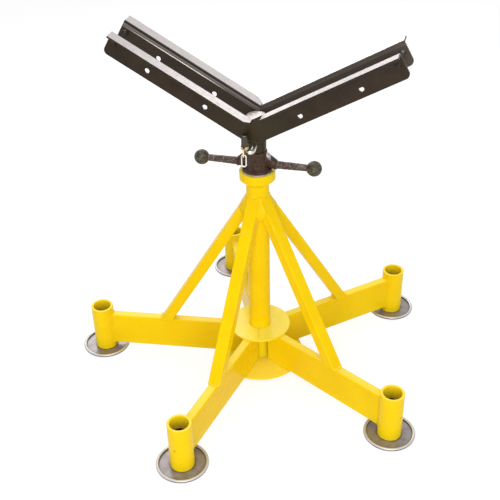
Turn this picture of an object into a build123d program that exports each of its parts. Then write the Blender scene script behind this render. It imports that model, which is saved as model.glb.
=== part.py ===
from build123d import *

import os
from math import cos, radians, sin, tan

os.makedirs("parts", exist_ok=True)

# A stand that holds a pipe at working height. Five legs carry a tube column, a hand nut on the
# column raises a keyed screw, and the screw carries a V head of two parallel rails.
# Origin: on the floor, under the column's axis. +X runs along the V head, +Z is up.

# Shared by all pieces
through = 1.0             # how far a cut runs past the face it opens
weld_gap = 0.2            # gap left round a tube where it is welded into a hole

# Base
leg_count = 5
leg_azimuth = 43.0        # first leg, in degrees from +X
foot_circle_radius = 469.0
leg_width = 25.4
leg_height = 101.6
leg_wall = 3.0
leg_corner = 4.0
leg_clearance = 17.0      # floor to the underside of a leg
leg_gap = 12.5            # column to the inner end of a leg

# Sockets and feet
socket_radius = 31.75
socket_wall = 7.0
socket_length = 140.5
socket_edge = 1.2         # rounding of a socket's upper rim
foot_radius = 68.5
foot_thickness = 2.5
foot_bead = 4.0           # radius of the rolled rim
stem_clearance = 0.3
stem_wall = 4.0
stem_length = 103.5
foot_screw_radius = 5.0
foot_screw_length = 10.0
foot_screw_height = 71.5  # above the foot's upper face
foot_screw_recess = 1.2   # how far it sits in from the socket's outer face
hex_socket_share = 0.5    # a screw's hexagon socket, as a share of its radius
hex_depth_share = 0.45    # the socket's depth, as a share of the screw's length

# Plates and braces
top_plate_radius = 86.5
top_plate_thickness = 5.0
bottom_plate_radius = 125.0
bottom_plate_thickness = 6.0
plate_edge = 1.0          # rounding of the round plates' rims
drain_radius = 10.0
brace_width = 34.0        # across the leg
brace_depth = 29.5
brace_wall = 3.0
brace_corner = 3.0
brace_reach = 272.0       # column axis to the middle of a brace's foot
brace_drop = 104.8        # column top to a brace's axis at the column

# Column, collar and bush
column_radius = 30.15
column_wall = 3.9
column_top = 622.5
collar_radius = 47.0
collar_wall_height = 23.0
collar_cone_height = 16.0
collar_edge = 1.5
bush_length = 50.0
bush_fit = 0.1            # bush to column
key_radius = 4.0
key_drop = 11.0           # column top to the key screw's axis
key_recess = 0.6
key_fit = 0.2

# Jack screw
screw_radius = 18.0
screw_fit = 0.1           # screw to bush and to nut
screw_floor_gap = 8.0     # screw's lower end to the bottom plate
lift_spare = 3.5          # guide ring to the bush at full height
keyway_depth = 3.0
keyway_margin = 3.0
guide_ring_gap = 0.35     # guide ring to the column's bore
guide_ring_height = 12.0
cross_pin_radius = 3.0
cross_pin_fit = 0.05

# Nut and handle
washer_thickness = 3.5
washer_radius = 41.0
washer_gap = 1.0
washer_edge = 0.6
nut_flange_radius = 38.5
nut_flange_height = 5.0
nut_flare_height = 10.0
nut_radius = 26.5
nut_height = 53.5
nut_chamfer = 2.0
nut_groove_depth = 1.0
nut_groove_height = 2.5
nut_groove_above = 25.0   # nut's lower face to the groove
handle_height = 16.5      # nut's lower face to the handle's axis
boss_root_width = 22.0    # a boss flares from this oval on the body to a round end
boss_root_height = 47.0
boss_radius = 12.5
boss_reach = 52.0         # column axis to a boss's end
arm_root_radius = 10.4
arm_tip_radius = 8.5
arm_socket_depth = 10.0
arm_fit = 0.1
ball_radius = 20.0
ball_reach = 148.5        # column axis to a ball's centre
ball_socket_depth = 12.0

# V head
arm_slope = 29.8          # degrees
rail_length = 395.5
rail_height = 62.0
rail_thickness = 5.0
rail_gap = 76.2           # between the two rails' webs
lip_width = 36.0
lip_notch = 31.0          # bottom of the V to the right-hand arms' lips
lip_corner = 13.0         # cut off the left-hand lips where the arms meet
bend_radius = 6.0
rail_end_radius = 13.0
axle_radius = 6.5         # holes for roller axles
axle_drop = 41.0          # lip's upper face to the holes
axle_inner = 114.0        # bottom of the V to the first hole, along the arm
axle_spacing = 165.0
end_bolt_inset = 16.0     # rail's end to the end bolt's axis
end_bolt_drop = 27.0
end_bolt_radius = 4.0
end_bolt_fit = 0.1
end_bolt_hex = 7.5        # radius over the corners of its head and its nut
end_bolt_head = 5.3
end_bolt_spare = 2.0      # how far it stands out of its nut
end_nut_height = 6.5
post_radius = 24.15
post_fit = 0.2            # post's bore to the screw
post_nut_gap = 2.0
cap_radius = 26.0
cap_thickness = 4.0
cap_drop = 8.0            # bottom of the V to the cap's upper face
cap_chamfer = 0.8
block_length = 64.0
block_drop = 22.7         # bottom of the V to the block's upper face
block_inset = 2.0         # rails' lower edges to the block's
rail_screw_radius = 3.0   # countersunk screws that hold the rails to the block
rail_screw_head = 6.0
rail_screw_length = 18.0
rail_screw_spread = 12.0  # column axis to a screw, along the V head
rail_screw_rise = 16.3    # lowest point of the rails to the screws' axes
rail_screw_fit = 0.2

# Locking pin
pin_azimuth = 274.5
pin_radius = 6.0
pin_fit = 0.3
pin_rise = 21.5           # post's lower end to the pin's axis
pin_rail_gap = 2.3        # pin's shaft to the rails above it
pin_outside = 19.0        # rail's web to the pin's upright leg
pin_bend = 9.0
pin_straight = 1.5        # straight run between the pin's two bends
pin_upright = 47.0        # shaft's axis to the top of the upright leg
pin_beyond = 8.0          # how far its tip stands out behind the post
pin_chamfer = 1.5
grip_radius = 8.2
grip_fit = 0.1
grip_length = 26.0
grip_end = 4.0            # bare end of the pin above the grip
grip_edge = 1.2
eye_azimuth = 275.0
eye_collar_radius = 9.5
eye_collar_height = 8.0
eye_reach = 13.0          # pin's upright axis to the hole in the eye
eye_thickness = 4.0
eye_radius = 6.5
eye_hole_radius = 3.2
eye_drop = 18.0           # grip's lower end to the hole in the eye
link_wire = 1.9           # radius of the link's wire
link_width = 11.0         # between the link's two sides, wire centre to wire centre
link_length = 32.0        # between the link's two ends, wire centre to wire centre
link_slack = 0.9          # link's wire to the lowest point of the eye's hole

# Worked out from the sizes above
leg_top = leg_clearance + leg_height
leg_middle = leg_clearance + leg_height / 2
leg_inner = column_radius + leg_gap
socket_bore = socket_radius - socket_wall
stem_radius = socket_bore - stem_clearance
column_bore = column_radius - column_wall
bush_radius = column_bore - bush_fit
running_bore = screw_radius + screw_fit
key_level = column_top - key_drop
brace_rise = column_top - brace_drop - leg_top
screw_bottom = leg_clearance + screw_floor_gap
lift_travel = column_top - bush_length - lift_spare - (screw_bottom + guide_ring_height)
nut_bottom = column_top + washer_thickness
nut_top = nut_bottom + nut_height
handle_level = nut_bottom + handle_height
post_bottom = nut_top + post_nut_gap
post_bore = screw_radius + post_fit
slope = radians(arm_slope)
web_face = rail_gap / 2
pin_level = post_bottom + pin_rise
pin_hole_radius = pin_radius + pin_fit
pin_reach = web_face + rail_thickness + pin_outside
pin_aside = 2 * pin_bend + pin_straight
pin_top = pin_level + pin_upright
grip_bottom = pin_top - grip_end - grip_length
vee_low = pin_level + pin_radius + pin_rail_gap
vee_height = vee_low + rail_height / cos(slope)
screw_top = vee_height - cap_drop - cap_thickness
azimuths = [leg_azimuth + 360 / leg_count * place for place in range(leg_count)]


def outward(azimuth):
    """Level direction away from the column's axis."""
    return Vector(cos(radians(azimuth)), sin(radians(azimuth)), 0)


def outward_plane(azimuth, reach, level):
    """Plane square to a level direction: its x is level, its y is up."""
    way = outward(azimuth)
    return Plane(origin=way * reach + Vector(0, 0, level), x_dir=outward(azimuth + 90), z_dir=way)


def standing_plane(centre, azimuth=0):
    """Upright plane through a point: its x is the level direction, its y is up."""
    return Plane(origin=centre, x_dir=outward(azimuth), z_dir=outward(azimuth - 90))


def on_arm(hand, along, drop):
    """Point of the V's own plane: distance along an arm, and distance square below its lip."""
    return (hand * (along * cos(slope) + drop * sin(slope)), vee_height + along * sin(slope) - drop * cos(slope))


def save(part, name):
    part.label = name
    export_step(part, f"parts/{name}.step")


# Column tube: stands on the bottom plate, drilled near its top for the key screw.
with BuildPart() as column_tube:
    with BuildSketch(Plane.XY.offset(leg_clearance)):
        Circle(column_radius)
        Circle(column_bore, mode=Mode.SUBTRACT)
    extrude(amount=column_top - leg_clearance)
    with BuildSketch(outward_plane(90, 0, key_level)):
        Circle(key_radius + key_fit)
    extrude(amount=column_radius + through, mode=Mode.SUBTRACT)
save(column_tube.part, "column_tube")

# Collar: turned ring round the column's top, coned down to the tube.
cone_bottom = column_top - collar_wall_height - collar_cone_height
with BuildPart() as collar:
    with BuildSketch(Plane.XZ):
        with BuildLine():
            Polyline(
                (column_radius, cone_bottom),
                (collar_radius, column_top - collar_wall_height),
                (collar_radius, column_top),
                (column_radius, column_top),
                close=True,
            )
        make_face()
    revolve(axis=Axis.Z)
    fillet(collar.edges().group_by(Axis.Z)[-1].sort_by(SortBy.LENGTH)[-1], collar_edge)
    with BuildSketch(outward_plane(90, 0, key_level)):
        Circle(key_radius + key_fit)
    extrude(amount=collar_radius + through, mode=Mode.SUBTRACT)
save(collar.part, "column_collar")

# Guide bush: plain bearing for the screw, in the column's top.
with BuildPart() as bush:
    with BuildSketch(Plane.XY.offset(column_top - bush_length)):
        Circle(bush_radius)
        Circle(running_bore, mode=Mode.SUBTRACT)
    extrude(amount=bush_length)
    with BuildSketch(outward_plane(90, 0, key_level)):
        Circle(key_radius + key_fit)
    extrude(amount=bush_radius + through, mode=Mode.SUBTRACT)
save(bush.part, "guide_bush")

# Key screw: its plain tip stands in the screw's keyway and stops it turning.
key_tip = screw_radius - keyway_depth + key_fit
key_length = collar_radius - key_recess - key_tip
with BuildPart() as key_screw:
    with BuildSketch(outward_plane(90, key_tip, key_level)):
        Circle(key_radius)
    extrude(amount=key_length)
    with BuildSketch(outward_plane(90, collar_radius - key_recess, key_level)):
        RegularPolygon(key_radius * hex_socket_share, 6)
    extrude(amount=-key_radius, mode=Mode.SUBTRACT)
save(key_screw.part, "key_screw")

# Round plates above and below the legs.
with BuildPart() as top_plate:
    with BuildSketch(Plane.XY.offset(leg_top)):
        Circle(top_plate_radius)
        Circle(column_radius + weld_gap, mode=Mode.SUBTRACT)
    extrude(amount=top_plate_thickness)
    fillet(top_plate.edges().filter_by(GeomType.CIRCLE).sort_by(SortBy.RADIUS)[-2:], plate_edge)
save(top_plate.part, "top_plate")

with BuildPart() as bottom_plate:
    with BuildSketch(Plane.XY.offset(leg_clearance - bottom_plate_thickness)):
        Circle(bottom_plate_radius)
        Circle(drain_radius, mode=Mode.SUBTRACT)
    extrude(amount=bottom_plate_thickness)
    fillet(bottom_plate.edges().filter_by(GeomType.CIRCLE).sort_by(SortBy.RADIUS)[-2:], plate_edge)
save(bottom_plate.part, "bottom_plate")

# Five legs, each with its brace, socket, foot plate and stem.
brace_way = Vector(-brace_reach + column_radius, 0, brace_rise).normalized()
brace_length = brace_reach / -brace_way.X
stem_bottom = foot_thickness
foot_screw_level = foot_thickness + foot_screw_height
foot_screw_planes = []
for number, azimuth in enumerate(azimuths, start=1):
    foot = outward(azimuth) * foot_circle_radius

    with BuildPart() as leg:
        with BuildSketch(outward_plane(azimuth, leg_inner, leg_middle)):
            RectangleRounded(leg_width, leg_height, leg_corner)
            RectangleRounded(
                leg_width - 2 * leg_wall, leg_height - 2 * leg_wall, leg_corner - leg_wall, mode=Mode.SUBTRACT
            )
        extrude(amount=foot_circle_radius - leg_inner)
        with BuildSketch(Plane(origin=foot)):
            Circle(socket_radius)
        extrude(amount=leg_top + through, mode=Mode.SUBTRACT)
    save(leg.part, f"leg_{number}")

    way = outward(azimuth) * brace_way.X + Vector(0, 0, brace_way.Z)
    brace_plane = Plane(
        origin=outward(azimuth) * brace_reach + Vector(0, 0, leg_top), x_dir=outward(azimuth + 90), z_dir=way
    )
    with BuildPart() as brace:
        with BuildSketch(brace_plane.offset(-brace_depth)):
            RectangleRounded(brace_width, brace_depth, brace_corner)
            Rectangle(brace_width - 2 * brace_wall, brace_depth - 2 * brace_wall, mode=Mode.SUBTRACT)
        extrude(amount=brace_length + brace_depth)
        with BuildSketch(Plane.XY):
            Circle(foot_circle_radius)
        extrude(amount=leg_top, mode=Mode.SUBTRACT)
        with BuildSketch(Plane.XY):
            Circle(column_radius)
        extrude(amount=column_top, mode=Mode.SUBTRACT)
    save(brace.part, f"brace_{number}")

    with BuildPart() as socket:
        with BuildSketch(Plane(origin=foot).offset(foot_thickness)):
            Circle(socket_radius)
            Circle(socket_bore, mode=Mode.SUBTRACT)
        extrude(amount=socket_length)
        fillet(socket.edges().group_by(Axis.Z)[-1], socket_edge)
        with BuildSketch(outward_plane(azimuth, foot_circle_radius, foot_screw_level)):
            Circle(foot_screw_radius)
        extrude(amount=socket_radius + through, mode=Mode.SUBTRACT)
    save(socket.part, f"socket_{number}")

    with BuildPart() as foot_plate:
        with BuildSketch(standing_plane(foot)):
            with BuildLine():
                Polyline(
                    (0, 0),
                    (foot_radius - foot_bead, 0),
                    (foot_radius - foot_bead, foot_thickness),
                    (0, foot_thickness),
                    close=True,
                )
            make_face()
            with Locations((foot_radius - foot_bead, foot_bead)):
                Circle(foot_bead)
        revolve(axis=Axis(foot, Vector(0, 0, 1)))
    save(foot_plate.part, f"foot_plate_{number}")

    with BuildPart() as stem:
        with BuildSketch(Plane(origin=foot).offset(stem_bottom)):
            Circle(stem_radius)
            Circle(stem_radius - stem_wall, mode=Mode.SUBTRACT)
        extrude(amount=stem_length)
        chamfer(stem.edges().group_by(Axis.Z)[-1].sort_by(SortBy.LENGTH)[-1], length=stem_wall / 4)
        with BuildSketch(outward_plane(azimuth, foot_circle_radius, foot_screw_level)):
            Circle(foot_screw_radius)
        extrude(amount=stem_radius + through, mode=Mode.SUBTRACT)
    save(stem.part, f"foot_stem_{number}")

    head = foot_circle_radius + socket_radius - foot_screw_recess
    foot_screw_planes.append(outward_plane(azimuth, head, foot_screw_level))

# Foot screws: one in each socket's outer side, sunk a little below its face.
with BuildPart() as foot_screws:
    for plane in foot_screw_planes:
        with BuildSketch(plane):
            Circle(foot_screw_radius)
        extrude(amount=-foot_screw_length)
        with BuildSketch(plane):
            RegularPolygon(foot_screw_radius * hex_socket_share, 6)
        extrude(amount=-foot_screw_length * hex_depth_share, mode=Mode.SUBTRACT)
save(foot_screws.part, "foot_screws")

# Thrust washer between the column and the nut.
with BuildPart() as washer:
    with BuildSketch(Plane.XY.offset(column_top)):
        Circle(washer_radius)
        Circle(screw_radius + washer_gap, mode=Mode.SUBTRACT)
    extrude(amount=washer_thickness)
    chamfer(washer.edges().filter_by(GeomType.CIRCLE).sort_by(SortBy.RADIUS)[-2:], washer_edge)
save(washer.part, "thrust_washer")

# Jack screw: thread, keyway on the far side, plain upper end drilled for the locking pin.
keyway_bottom = key_level - lift_travel - key_radius - keyway_margin
keyway_top = key_level + key_radius + keyway_margin
ring_pin_level = screw_bottom + guide_ring_height / 2
with BuildPart() as jack_screw:
    with BuildSketch(Plane.XY.offset(screw_bottom)):
        Circle(screw_radius)
    extrude(amount=screw_top - screw_bottom)
    chamfer(jack_screw.edges().group_by(Axis.Z)[0], length=keyway_depth / 2)
    with BuildSketch(outward_plane(90, screw_radius - keyway_depth, (keyway_bottom + keyway_top) / 2)):
        Rectangle(2 * (key_radius + key_fit), keyway_top - keyway_bottom)
    extrude(amount=keyway_depth + through, mode=Mode.SUBTRACT)
    with BuildSketch(outward_plane(pin_azimuth, 0, pin_level)):
        Circle(pin_hole_radius)
    extrude(amount=screw_radius + through, both=True, mode=Mode.SUBTRACT)
    with BuildSketch(outward_plane(0, 0, ring_pin_level)):
        Circle(cross_pin_radius + cross_pin_fit)
    extrude(amount=screw_radius + through, both=True, mode=Mode.SUBTRACT)
save(jack_screw.part, "jack_screw")

# Guide ring: keeps the screw's foot central in the column and stops it at full height.
guide_ring_radius = column_bore - guide_ring_gap
with BuildPart() as guide_ring:
    with BuildSketch(Plane.XY.offset(screw_bottom)):
        Circle(guide_ring_radius)
        Circle(screw_radius, mode=Mode.SUBTRACT)
    extrude(amount=guide_ring_height)
    with BuildSketch(outward_plane(0, 0, ring_pin_level)):
        Circle(cross_pin_radius + cross_pin_fit)
    extrude(amount=guide_ring_radius + through, both=True, mode=Mode.SUBTRACT)
save(guide_ring.part, "guide_ring")

with BuildPart() as ring_pin:
    with BuildSketch(outward_plane(0, 0, ring_pin_level)):
        Circle(cross_pin_radius)
    extrude(amount=guide_ring_radius - cross_pin_radius / 2, both=True)
save(ring_pin.part, "ring_pin")

# Hand nut: flange, hollow flare, body, and a boss on each side for the handle's arms.
flare_top = nut_bottom + nut_flange_height + nut_flare_height
groove_bottom = nut_bottom + nut_groove_above
boss_start = (nut_radius**2 - (boss_root_width / 2) ** 2) ** 0.5 - nut_groove_depth
boss_middle = nut_top - boss_root_height / 2
with BuildPart() as nut:
    with BuildSketch(Plane.XZ):
        with BuildLine():
            Polyline(
                (0, nut_bottom),
                (nut_flange_radius, nut_bottom),
                (nut_flange_radius, nut_bottom + nut_flange_height),
            )
            RadiusArc(
                (nut_flange_radius, nut_bottom + nut_flange_height),
                (nut_radius, flare_top),
                nut_flange_radius - nut_radius + nut_flare_height / 2,
            )
            Polyline(
                (nut_radius, flare_top),
                (nut_radius, groove_bottom),
                (nut_radius - nut_groove_depth, groove_bottom),
                (nut_radius - nut_groove_depth, groove_bottom + nut_groove_height),
                (nut_radius, groove_bottom + nut_groove_height),
                (nut_radius, nut_top - nut_chamfer),
                (nut_radius - nut_chamfer, nut_top),
                (0, nut_top),
                (0, nut_bottom),
            )
        make_face()
    revolve(axis=Axis.Z)
    for side in (0, 180):
        with BuildSketch(outward_plane(side, boss_start, boss_middle)):
            Ellipse(boss_root_width / 2, boss_root_height / 2)
        with BuildSketch(outward_plane(side, boss_reach, handle_level)):
            Circle(boss_radius)
        loft()
    with BuildSketch(Plane.XY.offset(nut_bottom)):
        Circle(running_bore)
    extrude(amount=nut_height, mode=Mode.SUBTRACT)
    for side in (0, 180):
        with BuildSketch(outward_plane(side, boss_reach - arm_socket_depth, handle_level)):
            Circle(arm_root_radius + arm_fit)
        extrude(amount=arm_socket_depth, mode=Mode.SUBTRACT)
save(nut.part, "hand_nut")

# Handle: a tapered arm on each side, each with a ball pressed on its end.
arm_start = boss_reach - arm_socket_depth
ball_seat = ball_reach - ball_radius + ball_socket_depth
for side, name in ((0, "right"), (180, "left")):
    with BuildPart() as arm:
        with BuildSketch(outward_plane(side, arm_start, handle_level)):
            Circle(arm_root_radius)
        with BuildSketch(outward_plane(side, ball_seat, handle_level)):
            Circle(arm_tip_radius)
        loft()
    save(arm.part, f"handle_arm_{name}")

    with BuildPart() as ball:
        with Locations(outward(side) * ball_reach + Vector(0, 0, handle_level)):
            Sphere(ball_radius)
        with BuildSketch(outward_plane(side, ball_reach - ball_radius - through, handle_level)):
            Circle(arm_tip_radius + 2 * arm_fit)
        extrude(amount=ball_socket_depth + through, mode=Mode.SUBTRACT)
    save(ball.part, f"handle_ball_{name}")

# Head post: tube that drops over the screw's plain end, with the pin's cross hole.
post_top = screw_top
with BuildPart() as head_post:
    with BuildSketch(Plane.XY.offset(post_bottom)):
        Circle(post_radius)
        Circle(post_bore, mode=Mode.SUBTRACT)
    extrude(amount=post_top - post_bottom)
    with BuildSketch(outward_plane(pin_azimuth, 0, pin_level)):
        Circle(pin_hole_radius)
    extrude(amount=post_radius + through, both=True, mode=Mode.SUBTRACT)
save(head_post.part, "head_post")

with BuildPart() as post_cap:
    with BuildSketch(Plane.XY.offset(post_top)):
        Circle(cap_radius)
    extrude(amount=cap_thickness)
    chamfer(post_cap.edges().group_by(Axis.Z)[-1], length=cap_chamfer)
save(post_cap.part, "post_cap")

# Saddle block: fills the V between the rails round the post, tapped for the rail screws.
rail_screw_level = vee_low + rail_screw_rise
rail_screw_points = [(hand * rail_screw_spread, rail_screw_level) for hand in (-1, 1)]
block_half = block_length / 2
block_low = vee_low + block_inset / cos(slope)
with BuildPart() as saddle_block:
    with BuildSketch(Plane.XZ):
        with BuildLine():
            Polyline(
                (0, block_low),
                (block_half, block_low + block_half * tan(slope)),
                (block_half, vee_height - block_drop),
                (-block_half, vee_height - block_drop),
                (-block_half, block_low + block_half * tan(slope)),
                close=True,
            )
        make_face()
    extrude(amount=web_face, both=True)
    with BuildSketch(Plane.XY.offset(vee_low)):
        Circle(post_radius + weld_gap)
    extrude(amount=rail_height / cos(slope), mode=Mode.SUBTRACT)
    for side in (1, -1):
        with BuildSketch(Plane.XZ.offset(side * web_face)):
            with Locations(*rail_screw_points):
                Circle(rail_screw_radius)
        extrude(amount=-side * (rail_screw_length - rail_thickness), mode=Mode.SUBTRACT)
save(saddle_block.part, "saddle_block")

# Rails: four halves, each an upright web with an outward lip, mitred where they meet. The right-hand
# lips stop short of the mitre, and the left-hand ones lose a corner there.
lip_edge = web_face + lip_width
for side, side_name in ((1, "front"), (-1, "rear")):
    for hand, hand_name in ((-1, "left"), (1, "right")):
        web_plane = Plane.XZ.offset(side * web_face)
        with BuildPart() as rail:
            with BuildSketch(web_plane):
                with BuildLine():
                    Polyline(
                        on_arm(hand, 0, 0),
                        on_arm(hand, rail_length, 0),
                        on_arm(hand, rail_length, rail_height),
                        on_arm(hand, -rail_height * tan(slope), rail_height),
                        close=True,
                    )
                make_face()
                lower_end = Vector(*on_arm(hand, rail_length, rail_height))
                fillet(vertices().sort_by_distance(lower_end)[0], rail_end_radius)
                with Locations(
                    on_arm(hand, axle_inner, axle_drop), on_arm(hand, axle_inner + axle_spacing, axle_drop)
                ):
                    Circle(axle_radius, mode=Mode.SUBTRACT)
                with Locations(on_arm(hand, rail_length - end_bolt_inset, end_bolt_drop)):
                    Circle(end_bolt_radius + end_bolt_fit, mode=Mode.SUBTRACT)
            extrude(amount=side * rail_thickness)
            with BuildSketch(web_plane):
                with Locations((hand * rail_screw_spread, rail_screw_level)):
                    Circle(rail_screw_radius + rail_screw_fit)
            with BuildSketch(web_plane.offset(side * rail_thickness)):
                with Locations((hand * rail_screw_spread, rail_screw_level)):
                    Circle(rail_screw_head + rail_screw_fit)
            loft(mode=Mode.SUBTRACT)
            with BuildSketch(web_plane):
                with BuildLine():
                    Polyline(
                        on_arm(hand, 0, 0),
                        on_arm(hand, rail_length, 0),
                        on_arm(hand, rail_length, rail_thickness),
                        on_arm(hand, -rail_thickness * tan(slope), rail_thickness),
                        close=True,
                    )
                make_face()
            extrude(amount=side * lip_width)
            bend_middle = on_arm(hand, rail_length / 2, 0)
            bend = Vector(bend_middle[0], -side * web_face, bend_middle[1])
            fillet(edges().sort_by_distance(bend)[0], bend_radius)
            if hand > 0:
                with BuildSketch(web_plane.offset(side * rail_thickness)):
                    with BuildLine():
                        Polyline(
                            on_arm(hand, -lip_width, -through),
                            on_arm(hand, lip_notch, -through),
                            on_arm(hand, lip_notch, rail_thickness + through),
                            on_arm(hand, -lip_width, rail_thickness + through),
                            close=True,
                        )
                    make_face()
                extrude(amount=side * lip_width, mode=Mode.SUBTRACT)
            else:
                with BuildSketch(Plane.XY.offset(vee_low)):
                    with BuildLine():
                        Polyline(
                            (-hand * through, -side * (lip_edge + through)),
                            (hand * (lip_corner + through), -side * (lip_edge + through)),
                            (-hand * through, -side * (lip_edge - lip_corner - through)),
                            close=True,
                        )
                    make_face()
                extrude(amount=rail_height / cos(slope) + lip_corner, mode=Mode.SUBTRACT)
        save(rail.part, f"rail_{side_name}_{hand_name}")

# Rail screws: countersunk, flush with the webs, one through each rail half.
with BuildPart() as rail_screws:
    for side in (1, -1):
        for place in rail_screw_points:
            with BuildSketch(Plane.XZ.offset(side * web_face)):
                with Locations(place):
                    Circle(rail_screw_radius)
            with BuildSketch(Plane.XZ.offset(side * (web_face + rail_thickness))):
                with Locations(place):
                    Circle(rail_screw_head)
            loft()
            with BuildSketch(Plane.XZ.offset(side * web_face)):
                with Locations(place):
                    Circle(rail_screw_radius)
            extrude(amount=-side * (rail_screw_length - rail_thickness))
            with BuildSketch(Plane.XZ.offset(side * (web_face + rail_thickness))):
                with Locations(place):
                    RegularPolygon(rail_screw_head * hex_socket_share, 6)
            extrude(amount=-side * rail_screw_head * hex_socket_share, mode=Mode.SUBTRACT)
save(rail_screws.part, "rail_screws")

# End bolts: a hexagon bolt near each rail half's end, its head outside, with a nut inside.
end_bolt_points = [on_arm(hand, rail_length - end_bolt_inset, end_bolt_drop) for hand in (-1, 1)]
with BuildPart() as rail_end_bolts:
    for side in (1, -1):
        for place in end_bolt_points:
            with BuildSketch(Plane.XZ.offset(side * (web_face + rail_thickness))):
                with Locations(place):
                    RegularPolygon(end_bolt_hex, 6)
            extrude(amount=side * end_bolt_head)
            with BuildSketch(Plane.XZ.offset(side * (web_face + rail_thickness))):
                with Locations(place):
                    Circle(end_bolt_radius)
            extrude(amount=-side * (rail_thickness + end_nut_height + end_bolt_spare))
save(rail_end_bolts.part, "rail_end_bolts")

with BuildPart() as rail_end_nuts:
    for side in (1, -1):
        with BuildSketch(Plane.XZ.offset(side * web_face)):
            with Locations(*end_bolt_points):
                RegularPolygon(end_bolt_hex, 6)
                Circle(end_bolt_radius, mode=Mode.SUBTRACT)
        extrude(amount=-side * end_nut_height)
save(rail_end_nuts.part, "rail_end_nuts")

# Locking pin: rod through post and screw, bent aside and then up, with a grip on its upright leg.
shaft_way = outward(pin_azimuth)
pin_tip = shaft_way * -(post_radius + pin_beyond) + Vector(0, 0, pin_level)
pin_corner = shaft_way * pin_reach + Vector(0, 0, pin_level)
leg_foot = shaft_way * pin_reach + outward(pin_azimuth - 90) * pin_aside
with BuildPart() as lock_pin:
    with BuildLine():
        FilletPolyline(
            pin_tip,
            pin_corner,
            leg_foot + Vector(0, 0, pin_level),
            leg_foot + Vector(0, 0, pin_top),
            radius=pin_bend,
        )
    with BuildSketch(Plane(origin=pin_tip, z_dir=shaft_way)):
        Circle(pin_radius)
    sweep()
    chamfer(lock_pin.faces().sort_by_distance(pin_tip)[0].edges(), length=pin_chamfer)
save(lock_pin.part, "lock_pin")

upright = Plane(origin=leg_foot)
with BuildPart() as grip:
    with BuildSketch(upright.offset(grip_bottom)):
        Circle(grip_radius)
        Circle(pin_radius + grip_fit, mode=Mode.SUBTRACT)
    extrude(amount=grip_length)
    fillet(grip.edges().filter_by(GeomType.CIRCLE).sort_by(SortBy.RADIUS)[-2:], grip_edge)
save(grip.part, "pin_grip")

# Brass eye: collar on the pin's upright leg, with a drop ear for the link.
eye_way = outward(eye_azimuth)
eye_level = grip_bottom - eye_drop
eye_hole = leg_foot + eye_way * eye_reach + Vector(0, 0, eye_level)
ear_top = grip_bottom - eye_level
with BuildPart() as eye:
    with BuildSketch(upright.offset(grip_bottom - eye_collar_height)):
        Circle(eye_collar_radius)
    extrude(amount=eye_collar_height)
    ear_plane = standing_plane(eye_hole, eye_azimuth)
    with BuildSketch(ear_plane.offset(-eye_thickness / 2)):
        Circle(eye_radius)
        with Locations((0, ear_top / 2)):
            Rectangle(2 * eye_radius, ear_top)
        with Locations((-eye_reach / 2, ear_top - eye_collar_height / 2)):
            Rectangle(eye_reach, eye_collar_height)
    extrude(amount=eye_thickness)
    with BuildSketch(ear_plane.offset(-eye_thickness)):
        Circle(eye_hole_radius)
    extrude(amount=2 * eye_thickness, mode=Mode.SUBTRACT)
    with BuildSketch(upright):
        Circle(pin_radius + grip_fit)
    extrude(amount=pin_top, mode=Mode.SUBTRACT)
save(eye.part, "pin_eye")

# Link: long ring of wire that hangs in the eye.
link_drop = eye_hole_radius - link_wire - link_slack
link_plane = standing_plane(eye_hole - Vector(0, 0, link_drop), eye_azimuth + 90)
half_width = link_width / 2
straight = link_length - link_width
with BuildPart() as link:
    for top in (-half_width, -half_width - straight):
        turn = 1 if top == -half_width else -1
        with BuildLine(link_plane):
            JernArc((half_width, top), (0, turn), half_width, 180 * turn)
        with BuildSketch(Plane(origin=link_plane.from_local_coords((half_width, top)), z_dir=(0, 0, 1))):
            Circle(link_wire)
        sweep()
    for hand in (-1, 1):
        place = link_plane.from_local_coords((hand * half_width, -half_width))
        with BuildSketch(Plane(origin=place)):
            Circle(link_wire)
        extrude(amount=-straight)
save(link.part, "pin_link")
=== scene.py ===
from math import asin, atan2, cos, hypot, pi, radians, sin, sqrt, tan

import bmesh
import bpy
from mathutils import Matrix, Vector


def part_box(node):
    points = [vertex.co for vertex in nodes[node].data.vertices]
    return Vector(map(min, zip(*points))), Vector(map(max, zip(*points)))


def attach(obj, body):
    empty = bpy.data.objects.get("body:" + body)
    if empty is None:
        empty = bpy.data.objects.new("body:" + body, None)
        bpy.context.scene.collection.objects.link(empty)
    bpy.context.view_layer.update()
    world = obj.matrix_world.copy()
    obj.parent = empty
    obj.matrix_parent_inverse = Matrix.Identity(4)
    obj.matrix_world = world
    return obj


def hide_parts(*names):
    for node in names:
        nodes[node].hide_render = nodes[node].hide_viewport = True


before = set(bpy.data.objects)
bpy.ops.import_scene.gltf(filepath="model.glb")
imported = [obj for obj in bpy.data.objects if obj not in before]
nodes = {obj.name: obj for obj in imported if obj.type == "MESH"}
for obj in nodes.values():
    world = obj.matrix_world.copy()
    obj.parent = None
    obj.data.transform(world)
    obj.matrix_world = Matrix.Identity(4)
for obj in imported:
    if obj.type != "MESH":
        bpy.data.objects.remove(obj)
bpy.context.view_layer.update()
mm = 0.001

# Column, collar, plates, legs, braces and sockets
# The base is one weldment: steel tube and plate, sprayed with gloss yellow enamel after welding.
# The enamel is thick and even, with a faint orange peel and a few chips; it carries painted shade in tight
# corners, painted light in wide ones and a painted highlight on faces that look up.


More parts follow.
